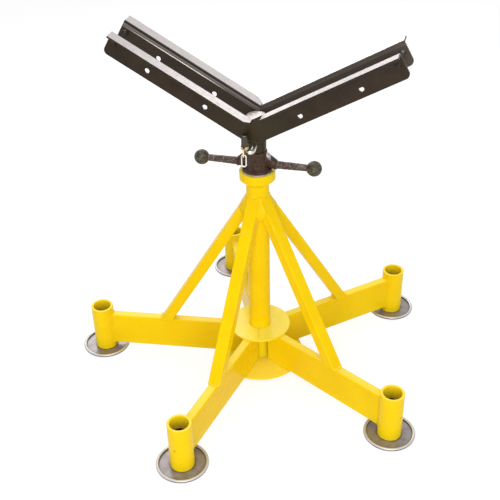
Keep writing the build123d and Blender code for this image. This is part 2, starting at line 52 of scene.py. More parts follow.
class Graph:
    """Adds nodes to a node tree and links them: a finish or a mesh recipe builds on it."""

    def add(self, kind, inputs=None, **settings):
        """A node of that kind, with its settings and its inputs, each a value or another node's output."""
        node = self.tree.nodes.new(kind)
        for setting, value in settings.items():
            setattr(node, setting, value)
        for socket, value in (inputs or {}).items():
            if isinstance(value, bpy.types.NodeSocket):
                self.tree.links.new(value, node.inputs[socket])
            else:
                node.inputs[socket].default_value = value
        return node

    def calc(self, operation, first, second=0.0, third=0.0):
        return self.add("ShaderNodeMath", {0: first, 1: second, 2: third}, operation=operation).outputs[0]

    def times(self, *factors):
        """The factors multiplied together."""
        product = factors[0]
        for factor in factors[1:]:
            product = self.calc("MULTIPLY", product, factor)
        return product

    def step(self, value, low, high, start=0.0, end=1.0):
        """Goes from start at low to end at high, and stays there; low may be the larger."""
        inputs = {"Value": value, "From Min": low, "From Max": high, "To Min": start, "To Max": end}
        return self.add("ShaderNodeMapRange", inputs).outputs[0]

    def parts(self, vector):
        """The x, y and z of a vector."""
        return self.add("ShaderNodeSeparateXYZ", {"Vector": vector}).outputs

    def joined(self, x, y, z):
        """The vector of x, y and z."""
        return self.add("ShaderNodeCombineXYZ", {"X": x, "Y": y, "Z": z}).outputs[0]


class Finish(Graph):
    """A procedural finish: patterns in object space, in metres, that feed one shader."""

    def __init__(self, name, **sockets):
        self.material = bpy.data.materials.new(name)
        self.material.use_nodes = True
        self.tree = self.material.node_tree
        self.shader = self.tree.nodes["Principled BSDF"]
        self.place = self.add("ShaderNodeTexCoord").outputs["Object"]
        self.soft_normal = None
        for socket, value in sockets.items():
            self.shader.inputs[socket.replace("_", " ")].default_value = value

    def spot(self):
        """The x, y and z of the point on the object."""
        return self.parts(self.place)

    def facing(self):
        """The x, y and z of the direction that the surface faces."""
        return self.parts(self.add("ShaderNodeNewGeometry").outputs["True Normal"])

    def grain(self, size, detail=3.0, stretch=(1, 1, 1)):
        """Noise from 0 to 1 whose lumps are about size metres across."""
        mapping = self.add("ShaderNodeMapping", {"Vector": self.place, "Scale": stretch})
        inputs = {"Vector": mapping.outputs[0], "Scale": 1 / size, "Detail": detail}
        return self.add("ShaderNodeTexNoise", inputs).outputs["Fac"]

    def specks(self, size):
        """Distance to the nearest of scattered points about size metres apart, from 0 to about 1."""
        inputs = {"Vector": self.place, "Scale": 1 / size, "Randomness": 1.0}
        return self.add("ShaderNodeTexVoronoi", inputs).outputs["Distance"]

    def corner(self, reach, full, none):
        """1 deep in a corner between faces less than reach apart, 0 in the open."""
        light = self.add("ShaderNodeAmbientOcclusion", {"Distance": reach}, samples=6).outputs["AO"]
        return self.step(light, none, full)

    def soft_edges(self, radius):
        """Rounds the shading of sharp edges, and gives 1 on them and 0 on flat faces."""
        self.soft_normal = self.add("ShaderNodeBevel", {"Radius": radius}, samples=4).outputs[0]
        true_normal = self.add("ShaderNodeNewGeometry").outputs["True Normal"]
        inputs = {0: self.soft_normal, 1: true_normal}
        along = self.add("ShaderNodeVectorMath", inputs, operation="DOT_PRODUCT").outputs["Value"]
        return self.step(along, 0.985, 0.93)

    def tint(self, share, first, second):
        """First colour where share is 0, second where it is 1."""
        node = self.add("ShaderNodeMix", {"Factor": share}, data_type="RGBA")
        for socket, colour in ((node.inputs[6], first), (node.inputs[7], second)):
            if isinstance(colour, bpy.types.NodeSocket):
                self.tree.links.new(colour, socket)
            else:
                socket.default_value = (*colour, 1)
        return node.outputs[2]

    def clouded(self, size, detail, first, second):
        """Two colours in clouds about size metres across."""
        return self.tint(self.step(self.grain(size, detail), 0.35, 0.7), first, second)

    def lay(self, socket, output):
        self.tree.links.new(output, self.shader.inputs[socket])

    def over(self, share, colour):
        """Lays another colour over the finished one, as much as share says."""
        under = self.shader.inputs["Base Color"].links[0].from_socket
        self.lay("Base Color", self.tint(share, under, colour))

    def sheen(self, size, detail, low, high):
        """Roughness between low and high, in patches about size metres across."""
        self.lay("Roughness", self.step(self.grain(size, detail), 0.2, 0.8, low, high))

    def lift(self, height, depth):
        """Bump of that depth in metres from a height between 0 and 1."""
        inputs = {"Height": height, "Distance": depth, "Strength": 1.0}
        if self.soft_normal:
            inputs["Normal"] = self.soft_normal
        self.tree.links.new(self.add("ShaderNodeBump", inputs).outputs[0], self.shader.inputs["Normal"])


def wear(node, finish):
    """Gives a CAD node its finish."""
    slots = nodes[node].data.materials
    if slots:
        for index in range(len(slots)):
            slots[index] = finish.material
    else:
        slots.append(finish.material)


def yellow_enamel(name, fresh, deep, gloss):
    """Enamel with dust and greenish patches, a painted highlight on faces that look up, painted light in
    wide corners and painted shade in tight ones.
    """
    dust_and_painted_light, greenish = (0.85, 0.62, 0.05), (0.78, 0.62, 0.004)
    full, painted_top_highlight = (0.94, 0.75, 0.012), (0.96, 0.84, 0.14)
    primer, painted_corner_shade = (0.16, 0.07, 0.02), (0.30, 0.13, 0.006)
    finish = Finish(name, Specular_IOR_Level=gloss)
    colour = finish.clouded(90 * mm, 3, fresh, deep)
    colour = finish.tint(finish.step(finish.grain(30 * mm, 6), 0.62, 0.9), colour, dust_and_painted_light)
    colour = finish.tint(finish.step(finish.grain(18 * mm), 0.48, 0.80, 0.0, 0.5), colour, greenish)
    # Painted light: wide corners are tinted a paler lemon, against the orange of light bounced into them.
    colour = finish.tint(finish.corner(120 * mm, 0.15, 0.75), colour, full)
    # Painted highlight: faces that look up are paler.
    colour = finish.tint(finish.step(finish.facing()["Z"], 0.90, 0.98, 0.0, 0.55), colour, painted_top_highlight)
    spots = finish.step(finish.specks(20 * mm), 0.06, 0.045)
    chips = finish.times(spots, finish.step(finish.grain(120 * mm), 0.58, 0.62))
    colour = finish.tint(chips, colour, primer)
    # Painted shade: tight corners and creases darken towards brown.
    shade = finish.times(finish.corner(4.5 * mm, 0.25, 0.66), 0.62)
    finish.lay("Base Color", finish.tint(shade, colour, painted_corner_shade))
    finish.sheen(15 * mm, 5, 0.16, 0.34)
    peel = finish.calc("SUBTRACT", finish.times(finish.grain(3.5 * mm, 1), 0.6), chips)
    finish.lift(peel, 0.1 * mm)
    return finish


enamel = yellow_enamel("yellow_enamel", (0.91, 0.61, 0.002), (0.87, 0.55, 0.002), 0.06)
# Painted light: the plates get a paler, glossier copy of the frame's enamel.
plate_enamel_painted_paler = yellow_enamel("plate_enamel_painted_paler", (0.94, 0.72, 0.006), (0.92, 0.67, 0.004), 0.25)
socket_enamel = yellow_enamel("socket_enamel", (0.92, 0.63, 0.003), (0.89, 0.575, 0.002), 0.08)
# Painted shade: deep in each socket's bore the enamel darkens to olive.
socket_enamel.over(socket_enamel.corner(50 * mm, 0.08, 0.34), (0.40, 0.28, 0.03))
leg_numbers = range(1, 6)
for node in ("column_tube", "column_collar", "foot_screws"):
    wear(node, enamel)
for node in ("top_plate", "bottom_plate"):
    wear(node, plate_enamel_painted_paler)
for number in leg_numbers:
    wear(f"leg_{number}", enamel)
    wear(f"brace_{number}", enamel)
    wear(f"socket_{number}", socket_enamel)

# Weld beads
# Fillet welds that hold the base together, laid by hand and painted over: round the sockets, along
# the plates, round each brace's foot, and over and under the braces where they meet the column.


class Recipe(Graph):
    """A Geometry Nodes tree with named sizes, run once on a carrier mesh to make a plain mesh."""

    def __init__(self, name):
        self.name = name
        self.tree = bpy.data.node_groups.new(name, "GeometryNodeTree")
        self.sizes = {}
        for way in ("INPUT", "OUTPUT"):
            self.tree.interface.new_socket("Geometry", in_out=way, socket_type="NodeSocketGeometry")

    def carrier(self):
        return self.add("NodeGroupInput").outputs["Geometry"]

    def size(self, name, value):
        """A named input of the tree, with its value for this object."""
        socket = self.tree.interface.new_socket(name, in_out="INPUT", socket_type="NodeSocketFloat")
        self.sizes[socket.identifier] = value
        return self.add("NodeGroupInput").outputs[name]

    def spot(self):
        """The x, y and z of each point."""
        return self.parts(self.add("GeometryNodeInputPosition").outputs[0])

    def noise(self, lumps, spot=None):
        """Noise from 0 to 1 with that many lumps a metre, at each point or at another spot."""
        if spot is None:
            spot = self.add("GeometryNodeInputPosition").outputs[0]
        inputs = {"Vector": spot, "Scale": lumps, "Detail": 2.0}
        return self.add("ShaderNodeTexNoise", inputs).outputs["Fac"]

    def rod(self, sides, rings, length, radius=1.0):
        """A round rod along Z, with its middle at the origin."""
        inputs = {"Vertices": sides, "Side Segments": rings, "Radius": radius, "Depth": length}
        return self.add("GeometryNodeMeshCylinder", inputs).outputs["Mesh"]

    def shift(self, geometry, place, turn=(0, 0, 0)):
        """The geometry turned, and then moved by place."""
        inputs = {"Geometry": geometry, "Translation": place, "Rotation": turn}
        return self.add("GeometryNodeTransform", inputs).outputs[0]

    def reshape(self, geometry, x, y, z):
        """The geometry with every point at its own x, y and z."""
        inputs = {"Geometry": geometry, "Position": self.joined(x, y, z)}
        return self.add("GeometryNodeSetPosition", inputs).outputs[0]

    def smooth(self, geometry, sharp_angle):
        """Shades a mesh smooth, except at edges that turn by more than the angle."""
        soft = self.add("GeometryNodeSetShadeSmooth", {"Geometry": geometry, "Shade Smooth": True})
        turn = self.add("GeometryNodeInputMeshEdgeAngle").outputs["Unsigned Angle"]
        inputs = {"Geometry": soft.outputs[0], "Shade Smooth": False}
        crisp = self.add("GeometryNodeSetShadeSmooth", inputs, domain="EDGE")
        self.tree.links.new(self.calc("GREATER_THAN", turn, sharp_angle), crisp.inputs["Selection"])
        return crisp.outputs[0]

    def make(self, geometry, carrier, finish):
        """Runs the tree and keeps its result as a plain mesh."""
        whole = self.add("GeometryNodeRealizeInstances", {"Geometry": geometry}).outputs[0]
        dressed = self.add("GeometryNodeSetMaterial", {"Geometry": whole, "Material": finish.material})
        self.add("NodeGroupOutput", {"Geometry": dressed.outputs[0]})
        piece = bpy.data.objects.new(self.name, carrier)
        bpy.context.scene.collection.objects.link(piece)
        modifier = piece.modifiers.new(self.name, "NODES")
        modifier.node_group = self.tree
        for identifier, value in self.sizes.items():
            modifier[identifier] = value
        ready = piece.evaluated_get(bpy.context.evaluated_depsgraph_get())
        mesh = bpy.data.meshes.new_from_object(ready)
        piece.modifiers.remove(modifier)
        piece.data = mesh
        return piece


def middle(node):
    low, high = (Vector(corner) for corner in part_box(node))
    return (low + high) / 2


def reach_x(node):
    """Half of a node's width along X."""
    low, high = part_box(node)
    return (high[0] - low[0]) / 2


column_radius = reach_x("column_tube")
top_plate_radius = reach_x("top_plate")
bottom_plate_radius = reach_x("bottom_plate")
socket_radius = reach_x("socket_1")
leg_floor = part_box("bottom_plate")[1][2]
leg_top, top_plate_face = (corner[2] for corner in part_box("top_plate"))
plate_levels = ((bottom_plate_radius, leg_floor), (top_plate_radius, leg_top))
leg_azimuths = [atan2(middle(f"socket_{number}").y, middle(f"socket_{number}").x) for number in leg_numbers]
half_gap = pi / len(leg_azimuths)
foot_circle = hypot(*middle("socket_1")[:2])
leg_half = 12.7 * mm
leg_inner = column_radius + 12.5 * mm   # column axis to where the beads along a leg begin
leg_edge = 4.0 * mm              # rounding of a leg's four long edges
brace_half = 17.0 * mm
brace_foot = 272.0 * mm          # column axis to the middle of a brace's foot
brace_head = 517.7 * mm          # level of a brace's axis at the column
brace_depth = 29.5 * mm
brace_pitch = atan2(brace_head - leg_top, brace_foot - column_radius)
corner_turns = (0, 30, 60, 90)   # points round a rounded corner, in degrees
leg_bead = 2.6 * mm              # radius of the beads round a socket and along the plates
rim_bead = 1.8 * mm              # where a leg passes under or over a plate's rim
brace_foot_bead = 4.2 * mm
brace_foot_gap = 0.6 * mm        # side of a brace to that bead's middle
head_beads = (                   # over and under the braces: side, set off the column, radius
    (1, -0.5 * mm, 3.6 * mm),
    (-1, 0.0 * mm, 3.4 * mm),
)
column_beads = ((leg_floor, 3.0 * mm), (leg_top, 2.5 * mm))
gap_steps = 18                   # points of a head bead between one leg and the next
ring_steps = 48                  # points of a bead round the column
seam_bead = 1.3 * mm             # runs across the top plate, from the column almost to its rim
seam_azimuth = radians(280)
seam_end = top_plate_radius - 1.5 * mm
bead_sides = 12
wander_lumps_a_metre = 90
bead_paths = []


def lay_bead(points, bead, closed=False):
    """Adds one weld: the points it runs through, and its radius."""
    bead_paths.append((points, bead, closed))


def turned(azimuth, along, aside, level):
    """Point beside a leg: distance out along it, distance to its left, and level."""
    out = Vector((cos(azimuth), sin(azimuth), 0))
    return out * along + Vector((-out.y, out.x, 0)) * aside + Vector((0, 0, level))


def rounded_loop(half_width, low, high):
    """Points of a rectangle with a leg's rounded corners, centred on 0 across."""
    points = []
    for side, end, start in ((1, high, 0), (-1, high, 90), (-1, low, 180), (1, low, 270)):
        centre = (side * (half_width - leg_edge), end - leg_edge if end == high else end + leg_edge)
        for turn in corner_turns:
            angle = radians(start + turn)
            points.append((centre[0] + leg_edge * cos(angle), centre[1] + leg_edge * sin(angle)))
    return points


def socket_bead(azimuth):
    """Runs round a leg's end, where it meets the socket's round side."""
    points = []
    for aside, level in rounded_loop(leg_half, leg_floor, leg_top):
        along = foot_circle - sqrt(socket_radius**2 - aside * aside)
        points.append(turned(azimuth, along, aside, level))
    lay_bead(points, leg_bead, True)


def brace_bead(azimuth):
    """Runs round a brace's foot, on top of its leg."""
    reach = brace_depth / 2 / sin(brace_pitch)
    loop = rounded_loop(leg_half + brace_foot_gap, -reach, reach)
    points = [turned(azimuth, brace_foot + along, aside, leg_top) for aside, along in loop]
    lay_bead(points, brace_foot_bead, True)


def plate_beads(azimuth, radius, level):
    """Run along both sides of a leg on a plate, and across it at the plate's rim."""
    for hand in (-1, 1):
        ends = (leg_inner, sqrt(radius**2 - leg_half**2))
        lay_bead([turned(azimuth, along, hand * leg_half, level) for along in ends], leg_bead)
    sweep = asin((leg_half - leg_edge) / radius)
    points = [turned(azimuth + share * sweep, radius, 0, level) for share in (-1, -0.5, 0, 0.5, 1)]
    lay_bead(points, rim_bead)


def head_bead(side, lift, bead):
    """Runs round the column over or under the braces, and dips into the gaps between them."""
    ring = []
    edge = brace_head + side * brace_depth / 2 / cos(brace_pitch)
    for azimuth in leg_azimuths:
        for index in range(gap_steps):
            turn = (2 * index / gap_steps - 1) * half_gap
            outward = column_radius * cos(turn)
            level = edge - (outward - column_radius) * tan(brace_pitch)
            ring.append(turned(azimuth + turn, column_radius + lift, 0, level))
    lay_bead(ring, bead, True)


for azimuth in leg_azimuths:
    socket_bead(azimuth)
    brace_bead(azimuth)
    for radius, level in plate_levels:
        plate_beads(azimuth, radius, level)
for side, lift, bead in head_beads:
    head_bead(side, lift, bead)
for level, bead in column_beads:
    turns = [2 * pi * index / ring_steps for index in range(ring_steps)]
    lay_bead([turned(turn, column_radius, 0, level) for turn in turns], bead, True)
lay_bead([turned(seam_azimuth, along, 0, top_plate_face) for along in (column_radius, seam_end)], seam_bead)


def bead_carrier():
    """Mesh of the welds' paths, with each point's bead radius."""
    points, edges, beads = [], [], []
    for path, bead, closed in bead_paths:
        first = len(points)
        points += path
        beads += [bead] * len(path)
        edges += [(first + index, first + index + 1) for index in range(len(path) - 1)]
        if closed:
            edges.append((len(points) - 1, first))
    mesh = bpy.data.meshes.new("weld_paths")
    mesh.from_pydata(points, edges, [])
    mesh.attributes.new("bead", "FLOAT", "POINT").data.foreach_set("value", beads)
    return mesh


def weld_beads():
    """Round beads along the paths, rippled, and wandering a little in height."""
    recipe = Recipe("weld_beads")
    pitch = recipe.size("Ripple pitch", 3.6 * mm)
    ripple = recipe.size("Ripple height", 0.15 * mm)
    wander = recipe.size("Wander height", 0.9 * mm)
    spacing = recipe.size("Ring spacing", 0.9 * mm)
    line = recipe.add("GeometryNodeMeshToCurve", {"Mesh": recipe.carrier()}).outputs[0]
    inputs = {"Curve": line, "Length": spacing}
    line = recipe.add("GeometryNodeResampleCurve", inputs, mode="LENGTH").outputs[0]
    run = recipe.add("GeometryNodeSplineParameter").outputs["Length"]
    phase = recipe.times(recipe.calc("DIVIDE", run, pitch), 2 * pi)
    wave = recipe.times(recipe.calc("SINE", phase), ripple)
    drift = recipe.times(recipe.calc("SUBTRACT", recipe.noise(wander_lumps_a_metre), 0.5), wander)
    bead = recipe.add("GeometryNodeInputNamedAttribute", {"Name": "bead"}, data_type="FLOAT").outputs[0]
    swell = recipe.calc("ADD", recipe.calc("ADD", wave, drift), bead)
    inputs = {"Resolution": bead_sides, "Radius": 1.0}
    ring = recipe.add("GeometryNodeCurvePrimitiveCircle", inputs).outputs[0]
    inputs = {"Curve": line, "Profile Curve": ring, "Scale": swell, "Fill Caps": True}
    tube = recipe.add("GeometryNodeCurveToMesh", inputs).outputs[0]
    return recipe.make(recipe.smooth(tube, radians(70)), bead_carrier(), enamel)


welds = weld_beads()
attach(welds, "base")

# Weld fillings between the braces
# Where two braces meet at the column the gap between them is filled with weld metal, level with their
# upper faces, and dressed smooth before painting.
filling_top, filling_end = 556.0 * mm, 478.0 * mm
filling_full = 516.0 * mm        # the filling draws back to the column below this level
filling_rows = 20
filling_hollow_share = 0.16      # how far its middle lies back, as a share of its half width
filling_overlap = 1.2 * mm       # how far it runs into the braces
filling_back = 4.0 * mm          # its back edge inside the column's face
filling_back_half = 1.0 * mm
filling_foot = 1.5 * mm          # its lowest row inside the column's face
filling_swell = 0.8              # power of the sine that shapes it between there and its full level
filling_shares = (1, 0.67, 0.33, 0, -0.33, -0.67, -1)   # points across its front


def flush(level):
    """How far out the braces' upper faces meet the middle of the gap at that level."""
    upper = brace_head + brace_depth / 2 / cos(brace_pitch)
    return (column_radius + (upper - level) / tan(brace_pitch)) * cos(half_gap) + brace_half * sin(half_gap)


def filling_reach(level):
    """How far out a filling lies: flush with the braces, and drawn back to the column at its foot."""
    if level >= filling_full:
        return flush(level)
    left = (level - filling_end) / (filling_full - filling_end)
    swell = sin(left * pi / 2) ** filling_swell
    return column_radius - filling_foot + (flush(filling_full) - column_radius) * swell


def filling_row(azimuth, level):
    """One level row of a filling, from one brace's upper edge to the next one's and round the back."""
    out = filling_reach(level)
    half = max(out * tan(half_gap) - brace_half / cos(half_gap), 0.0) + filling_overlap
    back = column_radius - filling_back
    spots = [(out - half * filling_hollow_share * (1 - share**2), half * share) for share in filling_shares]
    spots += [(back, -filling_back_half), (back, filling_back_half)]
    return [turned(azimuth, along, aside, level) for along, aside in spots]


def filling_mesh():
    """A loft through the level rows of each filling, closed at its top and its foot."""
    points, faces = [], []
    drop = filling_end - filling_top
    levels = [filling_top + drop * row / (filling_rows - 1) for row in range(filling_rows)]
    for azimuth in leg_azimuths:
        rows = [filling_row(azimuth + half_gap, level) for level in levels]
        first, width = len(points), len(rows[0])
        points += [point for row in rows for point in row]
        for row in range(filling_rows - 1):
            for index in range(width):
                spot, beside = first + row * width + index, first + row * width + (index + 1) % width
                faces.append((spot, spot + width, beside + width, beside))
        faces.append(tuple(range(first + width - 1, first - 1, -1)))
        faces.append(tuple(range(first + width * (filling_rows - 1), first + width * filling_rows)))
    mesh = bpy.data.meshes.new("brace_fillings")
    mesh.from_pydata(points, [], faces)
    solid = bmesh.new()
    solid.from_mesh(mesh)
    bmesh.ops.recalc_face_normals(solid, faces=solid.faces)
    solid.to_mesh(mesh)
    solid.free()
    mesh.shade_smooth()
    mesh.materials.append(enamel.material)
    return mesh


fillings = bpy.data.objects.new("brace_fillings", filling_mesh())
bpy.context.scene.collection.objects.link(fillings)
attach(fillings, "base")

# Foot plates and stems
# Pressed discs of zinc-plated sheet with a rolled rim, each on a stem of plated tube that stands in its
# socket; the plating is dull and clouded, with painted shade in the groove beside the rim and on the discs'
# sides, and a painted highlight along the rim's top and on the stems' upward faces.
rim_start, rim_full = 5.0 * mm, 6.5 * mm   # levels from which the rim's top gets a painted highlight


def zinc_plate(name, pale, dark, stain, **sockets):
    """Clouded plating with stains, and painted shade in its grooves."""
    finish = Finish(name, **{"Metallic": 1.0, **sockets})
    colour = finish.tint(finish.step(finish.grain(20 * mm, 5), 0.3, 0.75), pale, dark)
    colour = finish.tint(finish.step(finish.grain(45 * mm), 0.5, 0.68), colour, stain)
    # Painted shade: the plating darkens in grooves and corners.
    groove = finish.corner(8 * mm, 0.40, 0.90)
    finish.lay("Base Color", finish.tint(groove, colour, tuple(part * 0.25 for part in dark)))
    finish.sheen(12 * mm, 5, 0.28, 0.48)
    finish.lift(finish.grain(2.2 * mm), 0.08 * mm)
    return finish


def pressed_foot():
    """Dull plating, with painted shade on the disc's sides and a painted highlight along the top of its rim.
    """
    pale, dark, stain = (0.34, 0.315, 0.325), (0.21, 0.185, 0.18), (0.28, 0.23, 0.24)
    finish = zinc_plate("foot_zinc", pale, dark, stain, Metallic=0.55)
    # Painted shade on faces that look sideways or down.
    finish.over(finish.step(finish.facing()["Z"], 0.35, -0.1), (0.05, 0.035, 0.02))
    # Painted highlight along the rim's top.
    finish.over(finish.step(finish.spot()["Z"], rim_start, rim_full, 0.0, 0.75), (0.66, 0.65, 0.62))
    return finish


foot_zinc = pressed_foot()
stem_zinc = zinc_plate("stem_zinc", (0.60, 0.50, 0.26), (0.42, 0.33, 0.14), (0.50, 0.42, 0.26))
# Painted highlight: the stems' upward faces are paler.
stem_zinc.over(stem_zinc.step(stem_zinc.facing()["Z"], 0.80, 0.95), (0.92, 0.88, 0.74))
for number in leg_numbers:
    wear(f"foot_plate_{number}", foot_zinc)
    wear(f"foot_stem_{number}", stem_zinc)

# Guide bush, key screw, washer, guide ring and its pin
# Turned bronze and steel, left bare and lightly oiled. They are inside the column and the collar,
# except the washer, whose rim shows between the collar and the nut.


def turned_metal(name, pale, dark):
    """Bare metal in two clouded tones, with the fine rings that a lathe leaves."""
    finish = Finish(name, Metallic=1.0)
    finish.lay("Base Color", finish.clouded(8 * mm, 5, pale, dark))
    finish.sheen(4 * mm, 4, 0.30, 0.52)
    finish.lift(finish.grain(0.8 * mm, 2, stretch=(0.15, 0.15, 1)), 0.04 * mm)
    return finish


bare_steel = turned_metal("bare_steel", (0.56, 0.51, 0.48), (0.38, 0.33, 0.31))
wear("guide_bush", turned_metal("bronze", (0.66, 0.44, 0.19), (0.42, 0.26, 0.10)))
for node in ("key_screw", "thrust_washer", "guide_ring", "ring_pin"):
    wear(node, bare_steel)

# Jack screw
# A steel bar with a coarse rolled thread, a keyway milled down its far side and a plain upper end
# that is drilled for the locking pin. The thread is oiled, bright on its crests and dark in its roots.
screw_low, screw_high = (corner[2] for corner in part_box("jack_screw"))
screw_radius = reach_x("jack_screw")
screw_bevel = 1.5 * mm
screw_sides = 56
thread_pitch = 6.35 * mm
thread_depth = 3.175 * mm
thread_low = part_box("guide_ring")[1][2] + 1.0 * mm
thread_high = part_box("head_post")[0][2]
crest_share, root_share = 0.37, 0.63   # of half a pitch, where a flank starts and ends
rings_a_turn = 12
keyway_floor = screw_radius - 3.0 * mm
keyway_half = 4.2 * mm
keyway_low, keyway_high = 72.5 * mm, 618.5 * mm
keyway_cutter = 6.0 * mm         # height of the block that is cut from the bar
pin_level = middle("lock_pin").z
pin_hole = 6.3 * mm
pin_hole_sides = 32
pin_azimuth = radians(274.5)


def threaded_bar(recipe):
    """A bar with a thread between two levels, which fades out over a pitch, and a bevelled foot."""
    crest = recipe.size("Crest radius", screw_radius)
    depth = recipe.size("Thread depth", thread_depth)
    pitch = recipe.size("Thread pitch", thread_pitch)
    low = recipe.size("Thread bottom", thread_low)
    high = recipe.size("Thread top", thread_high)
    bevel = recipe.size("Bevel", screw_bevel)
    length = screw_high - screw_low
    rings = round(length / thread_pitch * rings_a_turn)
    bar = recipe.shift(recipe.rod(screw_sides, rings, length), (0, 0, screw_low + length / 2))
    x, y, z = recipe.spot()
    turn = recipe.calc("DIVIDE", recipe.calc("ARCTAN2", y, x), 2 * pi)
    phase = recipe.calc("FRACT", recipe.calc("SUBTRACT", recipe.calc("DIVIDE", z, pitch), turn))
    ridge = recipe.times(recipe.calc("ABSOLUTE", recipe.calc("SUBTRACT", phase, 0.5)), 2.0)
    groove = recipe.step(ridge, crest_share, root_share)
    start = recipe.step(recipe.calc("DIVIDE", recipe.calc("SUBTRACT", z, low), pitch), 0.0, 1.0)
    end = recipe.step(recipe.calc("DIVIDE", recipe.calc("SUBTRACT", high, z), pitch), 0.0, 1.0)
    cut = recipe.times(groove, depth, recipe.times(start, end))
    above = recipe.calc("SUBTRACT", z, screw_low)
    taper = recipe.calc("MAXIMUM", recipe.calc("SUBTRACT", bevel, above), 0.0)
    radius = recipe.calc("SUBTRACT", recipe.calc("SUBTRACT", crest, cut), taper)
    return recipe.reshape(bar, recipe.times(x, radius), recipe.times(y, radius), z)


def keyway_and_pin_hole(recipe):
    """What is cut from the bar: the keyway's block and the locking pin's drill."""
    size = (2 * keyway_half, keyway_cutter, keyway_high - keyway_low)
    block = recipe.add("GeometryNodeMeshCube", {"Size": size}).outputs["Mesh"]
    slot = recipe.shift(block, (0, keyway_floor + keyway_cutter / 2, (keyway_low + keyway_high) / 2))
    drill = recipe.rod(pin_hole_sides, 1, 3 * screw_radius, pin_hole)
    hole = recipe.shift(drill, (0, 0, pin_level), (pi / 2, 0, pin_azimuth + pi / 2))
    cutters = recipe.add("GeometryNodeJoinGeometry", {"Geometry": slot})
    recipe.tree.links.new(hole, cutters.inputs[0])
    return cutters.outputs[0]


def jack_screw(finish):
    """The threaded bar with its keyway and pin hole cut out."""
    recipe = Recipe("jack_screw_thread")
    inputs = {"Mesh 1": threaded_bar(recipe), "Mesh 2": keyway_and_pin_hole(recipe)}
    bar = recipe.add("GeometryNodeMeshBoolean", inputs, operation="DIFFERENCE", solver="MANIFOLD").outputs[0]
    return recipe.make(recipe.smooth(bar, radians(80)), bpy.data.meshes.new("screw_carrier"), finish)


def oiled_thread():
    """Bright steel on the crests, and dark oil in the roots."""
    finish = Finish("oiled_thread", Metallic=1.0)
    squares = [finish.calc("POWER", side, 2.0) for side in finish.spot()[:2]]
    across = finish.calc("SQRT", finish.calc("ADD", *squares))
    crest = finish.step(across, screw_radius - thread_depth, screw_radius)
    steel = finish.clouded(8 * mm, 5, (0.60, 0.57, 0.54), (0.40, 0.37, 0.34))
    finish.lay("Base Color", finish.tint(crest, (0.13, 0.10, 0.07), steel))
    finish.sheen(4 * mm, 4, 0.24, 0.46)
    finish.lift(finish.grain(0.9 * mm, 2), 0.04 * mm)
    return finish


screw = jack_screw(oiled_thread())
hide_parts("jack_screw")
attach(screw, "screw")

# Hand nut and handle
# A steel forging with a scaly dark skin, with a painted highlight on top of its two bosses, most on the
# right one. Two forged arms are driven into the bosses, and each ends in a dark moulded ball.
boss_start = (25.5 * mm, 27.0 * mm)   # how far out the painted highlight begins, and where it is full
boss_end = (39.0 * mm, 34.0 * mm)     # where it has ended, and where it is still full
boss_level_shares = (0.42, 0.46)      # of the nut's height, where the patch begins and is full
arm_tip = 8.5 * mm
arm_lump = 2.2 * mm
arm_lumps_a_metre = 170
arm_sides, arm_rings = 40, 90
arm_bare = 1.0 * mm              # how far beyond the nut an arm stays smooth
arm_fade = 4.0 * mm              # over which its lumps begin and end
arm_seat = 12.0 * mm             # length of its smooth end in the ball


def forged_skin(name, dark, pale, speckle, gloss):
    """Two scaly browns, with bare steel in flecks and along the edges."""
    finish = Finish(name, Specular_IOR_Level=gloss)
    edge = finish.soft_edges(1.0 * mm)
    colour = finish.clouded(10 * mm, 5, dark, pale)
    flecks = finish.step(finish.grain(4.5 * mm), 0.52, 0.70, 0.0, speckle)
    bare = finish.calc("MAXIMUM", flecks, finish.times(edge, 0.45))
    finish.lay("Base Color", finish.tint(bare, colour, (0.30, 0.22, 0.18)))
    finish.sheen(6 * mm, 4, 0.30, 0.55)
    finish.lift(finish.grain(3.5 * mm, 4), 0.6 * mm)
    return finish


def nut_skin_with_painted_highlight():
    """The nut's skin: darker than the arms', with a painted highlight on top of its bosses, most on the
    right one.
    """
    finish = forged_skin("nut_skin", (0.031, 0.012, 0.004), (0.055, 0.025, 0.010), 0.2, 0.25)
    low, high = (corner[2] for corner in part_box("hand_nut"))
    spot = finish.spot()
    reach = finish.calc("ABSOLUTE", spot["X"])
    out = finish.times(finish.step(reach, *boss_start), finish.step(reach, *boss_end))
    out = finish.times(out, finish.step(spot["X"], -1.0 * mm, 1.0 * mm, 0.4, 1.0))
    above = finish.step(spot["Z"], *(low + share * (high - low) for share in boss_level_shares))
    upward = finish.step(finish.facing()["Z"], 0.30, 0.42)
    patchy = finish.step(finish.grain(5 * mm, 4), 0.30, 0.45)
    # Painted highlight: upward faces on top of the bosses turn pale grey, more on the right.
    finish.over(finish.times(out, upward, patchy, above), (0.55, 0.52, 0.51))
    return finish


def dark_ball():
    """A dark moulding with a speckled, slightly pitted skin."""
    finish = Finish("dark_ball", Specular_IOR_Level=0.35)
    speckle = finish.step(finish.grain(4.5 * mm), 0.42, 0.68)
    finish.lay("Base Color", finish.tint(speckle, (0.020, 0.016, 0.007), (0.125, 0.105, 0.06)))
    finish.sheen(7 * mm, 4, 0.30, 0.50)
    finish.lift(finish.grain(1.6 * mm), 0.5 * mm)
    return finish


forged = forged_skin("forged_skin", (0.030, 0.015, 0.009), (0.075, 0.040, 0.030), 0.8, 0.45)
ball_skin = dark_ball()
wear("hand_nut", nut_skin_with_painted_highlight())
wear("handle_ball_left", ball_skin)
wear("handle_ball_right", ball_skin)


